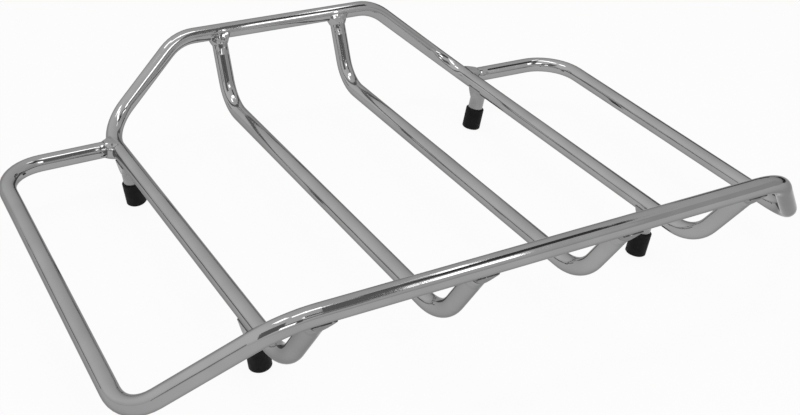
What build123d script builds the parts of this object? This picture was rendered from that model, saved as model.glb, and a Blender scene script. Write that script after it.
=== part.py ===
from build123d import *
import os
from math import cos, radians, sin

os.makedirs("parts", exist_ok=True)

# Luggage rack of chromed steel tube for the lid of a motorcycle's top case.
# Two bent tubes, two middle slats and four feet are welded into one frame.
# +Z is up, +Y points at the raised backrest hoop, and -Y at the raised front rail.
# The origin is below the middle of the frame, level with the lowest edge of the feet.

# Tube stock
tube_diameter = 12.7
tube_wall = 1.65

# Plan of the frame, measured between tube axes
rail_spacing = 396.0
rail_corner_offset = 185.0
outer_slat_offset = 162.0
middle_slat_offset = 54.7
hoop_top_offset = 90.0
wing_rear_offset = 254.5
wing_front_offset = 262.0
hoop_setback = 25.5
wing_joint_setback = 51.5
wing_rear_setback = 58.5
outer_toe_run = 44.5
middle_toe_run = 38.5
wing_toe_run = 46.0

# Heights above the axes of the outer slats
hoop_rise = 58.6
front_rail_rise = 65.0
middle_slat_rise = 3.6
wing_rear_rise = 2.7
wing_front_drop = 5.8

# Bend radii on the tube's axis
hoop_base_bend = 37.0
hoop_top_bend = 37.0
outer_toe_bend = 43.5
middle_toe_bend = 40.0
middle_head_bend = 30.0
wing_rear_bend = 36.0
wing_front_bend = 36.0
rail_bend = 49.0

# Welds where a tube's end meets the side of another
weld_leg = 4.0
weld_crown = 0.4
weld_root = 2.0

# Feet: a stub of tube, a threaded insert in its end and a rubber cap over it
foot_reach = 39.2
foot_lean = 9.0
rear_foot_setback = 73.7
front_foot_setback = 93.0
cap_length = 19.0
cap_wall = 1.5
cap_floor = 2.5
cap_rim_chamfer = 0.8
cap_hole_diameter = 7.0
insert_length = 14.0
insert_thread_diameter = 6.0

tube_radius = tube_diameter / 2
bore_radius = tube_radius - tube_wall
cap_radius = tube_radius + cap_wall
lean = radians(foot_lean)

# Height of the outer slats' axes over the lowest edges of the leaning feet
slat_height = foot_reach * cos(lean) + (cap_radius - cap_rim_chamfer) * sin(lean)

front_rail_y = -rail_spacing / 2
top_rail_y = rail_spacing / 2
hoop_base_y = top_rail_y - hoop_setback
wing_joint_y = top_rail_y - wing_joint_setback
wing_rear_y = top_rail_y - wing_rear_setback
outer_toe_y = front_rail_y + outer_toe_run
middle_toe_y = front_rail_y + middle_toe_run
wing_front_y = front_rail_y + wing_toe_run
front_rail_z = slat_height + front_rail_rise
top_rail_z = slat_height + hoop_rise
middle_slat_z = slat_height + middle_slat_rise
foot_stations = {
    "rear": top_rail_y - rear_foot_setback,
    "front": front_rail_y + front_foot_setback,
}
sides = {"left": -1, "right": 1}


def bent_rod(points, bend_radii, radius):
    """Round bar that follows straight runs joined by tangent bends."""
    with BuildPart() as rod:
        with BuildLine() as route:
            FilletPolyline(*points, radius=bend_radii)
        path = route.wire()
        with BuildSketch(Plane(origin=path @ 0, z_dir=path % 0)):
            Circle(radius)
        sweep(path=path)
    return rod.part


def weld_flare(joint, side_axis, branch_axis):
    """Weld that spreads a tube's end along the side of the tube it meets, no wider than that tube."""
    seat = Plane(origin=joint, x_dir=side_axis, z_dir=branch_axis)
    with BuildPart() as flare:
        with BuildSketch(seat.offset(weld_root)):
            Circle(tube_radius + weld_leg)
        with BuildSketch(seat.offset(tube_radius + weld_leg)):
            Circle(tube_radius + weld_crown)
        loft()
        with BuildSketch(seat):
            Rectangle(2 * (tube_radius + weld_leg), 2 * (tube_radius + weld_crown))
        extrude(amount=tube_radius + weld_leg, mode=Mode.INTERSECT)
    return flare.part


def between_welds(points):
    """Route whose ends stop at the weld roots, short of the axes of the tubes they meet."""
    first, second = Vector(*points[0]), Vector(*points[1])
    last, before_last = Vector(*points[-1]), Vector(*points[-2])
    start = first + (second - first).normalized() * weld_root
    finish = last + (before_last - last).normalized() * weld_root
    return [start] + points[1:-1] + [finish]


def mirrored(points):
    """Route from one half of the frame carried on to the other half."""
    return points + [(-x, y, z) for x, y, z in reversed(points)]


# Routes of the two long tubes, from their left ends to their right ends
hoop_half = [
    (-outer_slat_offset, front_rail_y, front_rail_z),
    (-outer_slat_offset, outer_toe_y, slat_height),
    (-outer_slat_offset, hoop_base_y, slat_height),
    (-hoop_top_offset, top_rail_y, top_rail_z),
]
wing_half = [
    (-outer_slat_offset, wing_joint_y, slat_height),
    (-wing_rear_offset, wing_rear_y, slat_height + wing_rear_rise),
    (-wing_front_offset, wing_front_y, slat_height - wing_front_drop),
    (-rail_corner_offset, front_rail_y, front_rail_z),
]
hoop_points = mirrored(hoop_half)
wing_points = mirrored(wing_half)
hoop_bends = [outer_toe_bend, hoop_base_bend, hoop_top_bend]
wing_bends = [wing_rear_bend, wing_front_bend, rail_bend]
hoop_bends = hoop_bends + hoop_bends[::-1]
wing_bends = wing_bends + wing_bends[::-1]

# Bars that trim the tube ends which are welded against them
hoop_trim = bent_rod(hoop_points[1:-1], hoop_bends[1:-1], tube_radius)
rail_trim = bent_rod(wing_points[2:-2], wing_bends[2:-2], tube_radius)


# Hoop tube: both outer slats and the raised hoop bent from one length
hoop_rod = bent_rod(between_welds(hoop_points), hoop_bends, tube_radius)
hoop_bore = bent_rod(hoop_points, hoop_bends, bore_radius)
hoop_welds = [
    weld_flare(points[0], (1, 0, 0), Vector(*points[1]) - Vector(*points[0]))
    for points in (hoop_points, hoop_points[::-1])
]
with BuildPart() as hoop_tube:
    add(hoop_rod)
    add(hoop_welds)
    add(hoop_bore, mode=Mode.SUBTRACT)
    add(rail_trim, mode=Mode.SUBTRACT)
hoop_tube.part.label = "hoop_tube"
export_step(hoop_tube.part, "parts/hoop_tube.step")


# Perimeter tube: both wings and the raised front rail bent from one length
wing_rod = bent_rod(between_welds(wing_points), wing_bends, tube_radius)
wing_bore = bent_rod(wing_points, wing_bends, bore_radius)
wing_welds = [
    weld_flare(points[0], (0, 1, 0), Vector(*points[1]) - Vector(*points[0]))
    for points in (wing_points, wing_points[::-1])
]
with BuildPart() as perimeter_tube:
    add(wing_rod)
    add(wing_welds)
    add(wing_bore, mode=Mode.SUBTRACT)
    add(hoop_trim, mode=Mode.SUBTRACT)
perimeter_tube.part.label = "perimeter_tube"
export_step(perimeter_tube.part, "parts/perimeter_tube.step")


# Middle slat: welded under the top rail and behind the front rail
slat_points = [
    (-middle_slat_offset, top_rail_y, top_rail_z),
    (-middle_slat_offset, hoop_base_y, middle_slat_z),
    (-middle_slat_offset, middle_toe_y, middle_slat_z),
    (-middle_slat_offset, front_rail_y, front_rail_z),
]
slat_bends = [middle_head_bend, middle_toe_bend]
slat_rod = bent_rod(between_welds(slat_points), slat_bends, tube_radius)
slat_bore = bent_rod(slat_points, slat_bends, bore_radius)
slat_welds = [
    weld_flare(points[0], (1, 0, 0), Vector(*points[1]) - Vector(*points[0]))
    for points in (slat_points, slat_points[::-1])
]
with BuildPart() as middle_slat_left:
    add(slat_rod)
    add(slat_welds)
    add(slat_bore, mode=Mode.SUBTRACT)
    add(rail_trim, mode=Mode.SUBTRACT)
    add(hoop_trim, mode=Mode.SUBTRACT)
middle_slat_left.part.label = "middle_slat_left"
export_step(middle_slat_left.part, "parts/middle_slat_left.step")

with BuildPart() as middle_slat_right:
    mirror(middle_slat_left.part, about=Plane.YZ)
middle_slat_right.part.label = "middle_slat_right"
export_step(middle_slat_right.part, "parts/middle_slat_right.step")


def foot_plane(sign, station):
    """Plane at a foot's lower end, its Z axis running up the leaning post."""
    up_post = Vector(sign * sin(lean), 0, cos(lean))
    slat_axis = Vector(sign * outer_slat_offset, station, slat_height)
    return Plane(origin=slat_axis - up_post * foot_reach, x_dir=(0, 1, 0), z_dir=up_post)


def foot_post(base):
    """Stub of tube, trimmed and welded to the underside of the outer slat."""
    slat_axis = base.origin + base.z_dir * foot_reach
    weld = weld_flare(slat_axis, base.x_dir, -base.z_dir)
    with BuildPart() as post:
        with BuildSketch(base.offset(cap_floor)):
            Circle(tube_radius)
        extrude(amount=foot_reach - cap_floor - weld_root)
        add(weld)
        with BuildSketch(base.offset(cap_floor)):
            Circle(bore_radius)
        extrude(amount=foot_reach - cap_floor, mode=Mode.SUBTRACT)
        add(hoop_trim, mode=Mode.SUBTRACT)
    return post.part


def thread_insert(base):
    """Steel insert pressed into the post, with the hole for the mounting screw."""
    with BuildPart() as insert:
        with BuildSketch(base.offset(cap_floor)):
            Circle(bore_radius)
            Circle(insert_thread_diameter / 2, mode=Mode.SUBTRACT)
        extrude(amount=insert_length)
    return insert.part


def rubber_cap(base):
    """Cap pushed over the post, with a hole through its floor for the screw."""
    with BuildPart() as cap:
        with BuildSketch(base):
            Circle(cap_radius)
        extrude(amount=cap_length)
        chamfer(cap.edges(), length=cap_rim_chamfer)
        with BuildSketch(base.offset(cap_floor)):
            Circle(tube_radius)
        extrude(amount=cap_length - cap_floor, mode=Mode.SUBTRACT)
        with BuildSketch(base):
            Circle(cap_hole_diameter / 2)
        extrude(amount=cap_floor, mode=Mode.SUBTRACT)
    return cap.part


for end, station in foot_stations.items():
    for side, sign in sides.items():
        base = foot_plane(sign, station)
        post_part = foot_post(base)
        post_part.label = f"post_{end}_{side}"
        export_step(post_part, f"parts/post_{end}_{side}.step")
        insert_part = thread_insert(base)
        insert_part.label = f"thread_insert_{end}_{side}"
        export_step(insert_part, f"parts/thread_insert_{end}_{side}.step")
        cap_part = rubber_cap(base)
        cap_part.label = f"rubber_cap_{end}_{side}"
        export_step(cap_part, f"parts/rubber_cap_{end}_{side}.step")
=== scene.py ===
import bpy
from math import cos, pi, radians, sin
from mathutils import Matrix, Vector

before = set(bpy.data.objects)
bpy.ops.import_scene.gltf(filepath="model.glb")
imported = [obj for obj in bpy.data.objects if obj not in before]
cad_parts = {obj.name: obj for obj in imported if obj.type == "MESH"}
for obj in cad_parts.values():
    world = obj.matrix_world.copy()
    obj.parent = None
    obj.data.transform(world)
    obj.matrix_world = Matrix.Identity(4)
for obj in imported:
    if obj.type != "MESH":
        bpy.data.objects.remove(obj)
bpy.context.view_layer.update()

# The photograph's camera: its place and its nearest sight in metres, its angles in degrees,
# and its lens in millimetres
CAMERA_PLACE = Vector((-0.4186, -0.6799, 0.4982))
CAMERA_TURN = 32.136
CAMERA_TILT = 30.708
CAMERA_ROLL = 3.641
CAMERA_LENS = 55.29
CAMERA_CLIP = 0.01

# Soft boxes that show in the chrome as white streaks: middle, width and length in metres, radiance
SOFT_BOXES = {
    "box_right": ((0.80, -1.20, 1.30), (0.23, 0.58), 4.0),
    "box_high": ((0.77, 0.22, 1.60), (0.08, 0.55), 3.5),
    "box_top": ((0.24, -0.05, 1.86), (0.62, 0.34), 3.5),
    "box_over": ((-0.25, 0.00, 1.96), (0.55, 0.36), 3.0),
    "box_over_left": ((-0.74, 0.45, 1.80), (0.42, 0.50), 3.0),
    "box_front": ((0.00, -1.38, 1.42), (0.55, 0.34), 4.0),
    "box_left": ((-0.38, -0.72, 0.35), (0.20, 0.13), 4.0),
}

# Glowing cards, painted reflections that show in the chrome as darker lines and bands: middle, width and
# length in metres, radiance
CARDS = {
    "card_edge": ((0.48, -1.10, 1.33), (0.35, 1.00), 0.25),
    "card_top_left": ((0.54, -0.48, 1.62), (0.27, 0.50), 0.25),
    "card_top": ((0.91, -0.33, 1.62), (0.46, 0.78), 0.08),
    "card_top_gap": ((0.62, -0.10, 1.66), (0.12, 0.30), 0.15),
    "card_near": ((-0.10, -0.52, 0.46), (0.17, 0.10), 0.25),
    "card_front": ((-0.42, -1.12, 0.62), (0.42, 0.40), 0.18),
    "card_front_low": ((0.05, -1.40, 0.76), (0.90, 0.16), 0.25),
    "card_left": ((-1.25, -1.00, 1.05), (1.00, 1.20), 0.25),
    "card_far_left": ((-1.16, 1.13, 0.09), (0.30, 0.14), 0.20),
    "card_riser": ((-1.88, -0.63, 0.27), (0.40, 0.22), 0.35),
    "card_low_right": ((1.60, 0.12, 0.12), (0.90, 0.34), 0.06),
    "card_right": ((1.55, -0.95, 0.62), (1.30, 1.10), 0.68),
    "card_far_right": ((1.33, 0.86, 0.57), (0.45, 0.36), 0.15),
}

# The point near the middle of the rack that the boxes and cards face
AIM = Vector((0, 0, 0.08))

# Background: shade by height over or under the horizon and from left to right, and
# strength where it lights matt surfaces and where it is seen or mirrored
HORIZON_BAND = (0.0, 0.3)
HORIZON_SHADE = (0.75, 1.0)
SIDE_BAND = (-0.6, 0.8)
SIDE_SHADE = (1.12, 0.80)
WORLD_STRENGTH = (0.5, 1.0)

# Floor: side in metres, its white, and how much of it glows where it is seen or mirrored
FLOOR_SIDE = 12
FLOOR_WHITE = 0.9
FLOOR_GLOW = 0.93

# Noise textures by their use: cycles a metre, and detail. Most of their values lie in the band.
NOISES = {
    "chrome_tone": (30, 2),
    "chrome_haze": (60, 4),
    "chrome_waves": (30, 1),
    "chrome_marks": (900, 3),
    "weld_ripples": (200, 1),
    "steel_tone": (120, 3),
    "steel_haze": (200, 4),
    "steel_grain": (1500, 3),
    "rubber_tone": (150, 4),
    "rubber_haze": (400, 3),
    "rubber_grain": (2500, 2),
}
NOISE_BAND = (0.3, 0.7)

# Darkest and lightest tone of each surface, and its least and greatest roughness
CHROME_GREYS = (0.31, 0.345)
CHROME_ROUGHNESS = (0.05, 0.11)
POST_GREYS = (0.26, 0.32)
POST_ROUGHNESS = (0.28, 0.42)
INSERT_COLOURS = ((0.4, 0.4, 0.41, 1), (0.5, 0.5, 0.51, 1))
INSERT_ROUGHNESS = (0.25, 0.4)
RUBBER_GREYS = (0.004, 0.009)
RUBBER_ROUGHNESS = (0.6, 0.75)

# Tint of the chrome's grazing reflections, and strength of the rubber's sheen
CHROME_TINT = 0.48
RUBBER_SHEEN = 0.15

# Depths of the bumps in metres
WAVE_DEPTH = 0.0004
MARK_DEPTH = 0.000008
RIPPLE_DEPTH = 0.0008
STEEL_GRAIN_DEPTH = 0.00003
RUBBER_GRAIN_DEPTH = 0.00004

# Screw thread in the inserts in metres, and the length of one band of a wave texture of scale 1
THREAD_PITCH = 0.001
THREAD_DEPTH = 0.0005
WAVE_LENGTH = 2 * pi / 20

# Middles of the welds on the right half, 9 mm along each joining tube from the axis that it meets,
# and the distances from a middle between which a weld's ripples fade, in metres
RIGHT_WELDS = (
    (0.0547, 0.1942, 0.0903),
    (0.0547, -0.1932, 0.0972),
    (0.1620, -0.1929, 0.0974),
    (0.1710, 0.1458, 0.0401),
    (0.1606, 0.1243, 0.0309),
    (0.1606, -0.1050, 0.0309),
)
WELDS = RIGHT_WELDS + tuple((-x, y, z) for x, y, z in RIGHT_WELDS)
WELD_FADE = (0.008, 0.012)


def place_camera():
    """Camera at the photograph's angle."""
    turn, tilt = radians(CAMERA_TURN), radians(CAMERA_TILT)
    view = Vector((sin(turn) * cos(tilt), cos(turn) * cos(tilt), -sin(tilt)))
    level = view.to_track_quat("-Z", "Y").to_matrix().to_4x4()
    roll = Matrix.Rotation(radians(CAMERA_ROLL), 4, "Z")
    data = bpy.data.cameras.new("photo_camera")
    data.lens = CAMERA_LENS
    data.clip_start = CAMERA_CLIP
    camera = bpy.data.objects.new("photo_camera", data)
    camera.matrix_world = Matrix.Translation(CAMERA_PLACE) @ level @ roll
    bpy.context.scene.collection.objects.link(camera)
    bpy.context.scene.camera = camera


def new_material(name):
    """Node material, with its tree and its Principled shader."""
    material = bpy.data.materials.new(name)
    material.use_nodes = True
    tree = material.node_tree
    return material, tree, tree.nodes["Principled BSDF"]


def grey(level):
    """Opaque grey as a colour."""
    return (level, level, level, 1)


def object_point(tree):
    """Point in the object's own coordinates, in metres."""
    return tree.nodes.new("ShaderNodeTexCoord").outputs["Object"]


def noise(tree, use):
    """Noise of one of the kinds in NOISES."""
    scale, detail = NOISES[use]
    texture = tree.nodes.new("ShaderNodeTexNoise")
    texture.inputs["Scale"].default_value = scale
    texture.inputs["Detail"].default_value = detail
    tree.links.new(object_point(tree), texture.inputs["Vector"])
    return texture.outputs["Fac"]


def calculated(tree, operation, *values):
    """Result of a maths operation on one or two values."""
    node = tree.nodes.new("ShaderNodeMath")
    node.operation = operation
    for value, socket in zip(values, node.inputs):
        tree.links.new(value, socket)
    return node.outputs["Value"]


def ranged(tree, value, target, source=NOISE_BAND):
    """Value spread from one range over another."""
    spread = tree.nodes.new("ShaderNodeMapRange")
    ends = ("From Min", "From Max", "To Min", "To Max")
    for end, number in zip(ends, (*source, *target)):
        spread.inputs[end].default_value = number
    tree.links.new(value, spread.inputs["Value"])
    return spread.outputs["Result"]


def toned(tree, value, colours):
    """Colour that runs from the first to the second as a noise rises."""
    ramp = tree.nodes.new("ShaderNodeValToRGB")
    for stop, position, colour in zip(ramp.color_ramp.elements, NOISE_BAND, colours):
        stop.position = position
        stop.color = colour
    tree.links.new(value, ramp.inputs["Fac"])
    return ramp.outputs["Color"]


def bumped(tree, layers):
    """Normal from layers of (height value, depth in metres)."""
    normal = None
    for value, depth in layers:
        bump = tree.nodes.new("ShaderNodeBump")
        bump.inputs["Distance"].default_value = depth
        tree.links.new(value, bump.inputs["Height"])
        if normal is not None:
            tree.links.new(normal, bump.inputs["Normal"])
        normal = bump.outputs["Normal"]
    return normal


def finish(tree, shader, kind, colours, roughness, layers):
    """Mottled colour, uneven roughness and bumps of a surface."""
    tone = toned(tree, noise(tree, kind + "_tone"), colours)
    haze = ranged(tree, noise(tree, kind + "_haze"), roughness)
    tree.links.new(tone, shader.inputs["Base Color"])
    tree.links.new(haze, shader.inputs["Roughness"])
    tree.links.new(bumped(tree, layers), shader.inputs["Normal"])


def weld_nearness(tree):
    """One around the middle of each weld, fading to nothing."""
    point = object_point(tree)
    nearest = None
    for joint in WELDS:
        gap = tree.nodes.new("ShaderNodeVectorMath")
        gap.operation = "DISTANCE"
        gap.inputs[1].default_value = joint
        tree.links.new(point, gap.inputs[0])
        distance = gap.outputs["Value"]
        if nearest is not None:
            distance = calculated(tree, "MINIMUM", nearest, distance)
        nearest = distance
    return ranged(tree, nearest, (1.0, 0.0), WELD_FADE)


def chrome():
    """Polished chrome plate with faint waves, haze and polishing marks, and ripples over the welds."""
    material, tree, shader = new_material("chrome_plate")
    shader.inputs["Metallic"].default_value = 1.0
    shader.inputs["Specular Tint"].default_value = grey(CHROME_TINT)
    ripples = calculated(tree, "MULTIPLY", noise(tree, "weld_ripples"), weld_nearness(tree))
    layers = (
        (noise(tree, "chrome_waves"), WAVE_DEPTH),
        (noise(tree, "chrome_marks"), MARK_DEPTH),
        (ripples, RIPPLE_DEPTH),
    )
    finish(tree, shader, "chrome", map(grey, CHROME_GREYS), CHROME_ROUGHNESS, layers)
    return material


def satin_steel():
    """Plain plated steel of the posts, with a satin surface."""
    material, tree, shader = new_material("post_satin")
    shader.inputs["Metallic"].default_value = 1.0
    grain = (noise(tree, "steel_grain"), STEEL_GRAIN_DEPTH)
    finish(tree, shader, "steel", map(grey, POST_GREYS), POST_ROUGHNESS, [grain])
    return material


def threaded_steel():
    """Plain steel of the inserts, with the turns of the screw thread on the wall of the hole."""
    material, tree, shader = new_material("insert_steel")
    shader.inputs["Metallic"].default_value = 1.0
    turns = tree.nodes.new("ShaderNodeTexWave")
    turns.bands_direction = "Z"
    turns.inputs["Scale"].default_value = WAVE_LENGTH / THREAD_PITCH
    tree.links.new(object_point(tree), turns.inputs["Vector"])
    thread = (turns.outputs["Fac"], THREAD_DEPTH)
    grain = (noise(tree, "steel_grain"), STEEL_GRAIN_DEPTH)
    finish(tree, shader, "steel", INSERT_COLOURS, INSERT_ROUGHNESS, [thread, grain])
    return material


def rubber():
    """Moulded black rubber with a fine matt grain."""
    material, tree, shader = new_material("black_rubber")
    shader.inputs["Specular IOR Level"].default_value = RUBBER_SHEEN
    grain = (noise(tree, "rubber_grain"), RUBBER_GRAIN_DEPTH)
    finish(tree, shader, "rubber", map(grey, RUBBER_GREYS), RUBBER_ROUGHNESS, [grain])
    return material


def dress(beginnings, material):
    """Gives a material to the CAD nodes whose names begin in one of these ways."""
    for name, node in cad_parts.items():
        if name.startswith(beginnings):
            for slot in node.material_slots:
                slot.material = material


def seen(tree):
    """One for rays that show what they meet: in the picture, in metal or through glass."""
    rays = tree.nodes.new("ShaderNodeLightPath").outputs
    mirrored = calculated(tree, "MAXIMUM", rays["Is Camera Ray"], rays["Is Glossy Ray"])
    return calculated(tree, "MAXIMUM", mirrored, rays["Is Transmission Ray"])


def light_world():
    """Even white studio light from all sides, a little darker along the horizon and to the right."""
    world = bpy.data.worlds.new("studio")
    bpy.context.scene.world = world
    world.use_nodes = True
    tree = world.node_tree
    background = tree.nodes["Background"]
    coordinates = tree.nodes.new("ShaderNodeTexCoord")
    parts = tree.nodes.new("ShaderNodeSeparateXYZ")
    tree.links.new(coordinates.outputs["Generated"], parts.inputs["Vector"])
    height = calculated(tree, "ABSOLUTE", parts.outputs["Z"])
    by_height = ranged(tree, height, HORIZON_SHADE, HORIZON_BAND)
    by_side = ranged(tree, parts.outputs["X"], SIDE_SHADE, SIDE_BAND)
    shade = calculated(tree, "MULTIPLY", by_height, by_side)
    strength = ranged(tree, seen(tree), WORLD_STRENGTH, (0, 1))
    tree.links.new(shade, background.inputs["Color"])
    tree.links.new(strength, background.inputs["Strength"])


def glow(tree, level):
    """Shader of a grey that gives off its own light."""
    emission = tree.nodes.new("ShaderNodeEmission")
    emission.inputs["Color"].default_value = grey(level)
    return emission.outputs["Emission"]


def lay_floor():
    """White floor that still takes the rack's shadow."""
    bpy.ops.mesh.primitive_plane_add(size=FLOOR_SIDE)
    floor = bpy.context.object
    floor.name = "floor"
    material, tree, shader = new_material("floor_white")
    shader.inputs["Base Color"].default_value = grey(FLOOR_WHITE)
    shader.inputs["Roughness"].default_value = 1.0
    shader.inputs["Specular IOR Level"].default_value = 0.0
    mix = tree.nodes.new("ShaderNodeMixShader")
    tree.links.new(ranged(tree, seen(tree), (0, FLOOR_GLOW), (0, 1)), mix.inputs["Fac"])
    tree.links.new(shader.outputs["BSDF"], mix.inputs[1])
    tree.links.new(glow(tree, 1), mix.inputs[2])
    tree.links.new(mix.outputs["Shader"], tree.nodes["Material Output"].inputs["Surface"])
    floor.data.materials.append(material)


def hang(thing, middle):
    """Hangs a lamp or card at its place, facing the rack, its width along X and unseen by the camera."""
    away = (Vector(middle) - AIM).normalized()
    width = (Vector((1, 0, 0)) - away * away.x).normalized()
    turn = Matrix((width, away.cross(width), away)).transposed()
    thing.rotation_euler = turn.to_euler()
    thing.location = middle
    thing.visible_camera = False


def hang_box(name, middle, size, radiance):
    """Soft box that lights the rack and shows in the chrome."""
    data = bpy.data.lights.new(name, "AREA")
    data.shape = "RECTANGLE"
    data.size, data.size_y = size
    data.energy = radiance * size[0] * size[1] * pi
    lamp = bpy.data.objects.new(name, data)
    bpy.context.scene.collection.objects.link(lamp)
    hang(lamp, middle)


def hang_card(name, middle, size, radiance):
    """Glowing card, a painted reflection that shows only in reflections and throws no shadow."""
    bpy.ops.mesh.primitive_plane_add(size=1)
    card = bpy.context.object
    card.name = name
    card.scale = (*size, 1)
    card.visible_diffuse = False
    card.visible_shadow = False
    material, tree, _ = new_material(name + "_painted_reflection")
    # Painted reflection: the card glows at its own radiance and lights nothing
    tree.links.new(glow(tree, radiance), tree.nodes["Material Output"].inputs["Surface"])
    card.data.materials.append(material)
    hang(card, middle)


dress(("hoop_tube", "perimeter_tube", "middle_slat"), chrome())
dress("post", satin_steel())
dress("thread_insert", threaded_steel())
dress("rubber_cap", rubber())

bpy.context.scene.view_settings.view_transform = "Standard"
place_camera()
light_world()
lay_floor()
for name, box in SOFT_BOXES.items():
    hang_box(name, *box)
for name, card in CARDS.items():
    hang_card(name, *card)
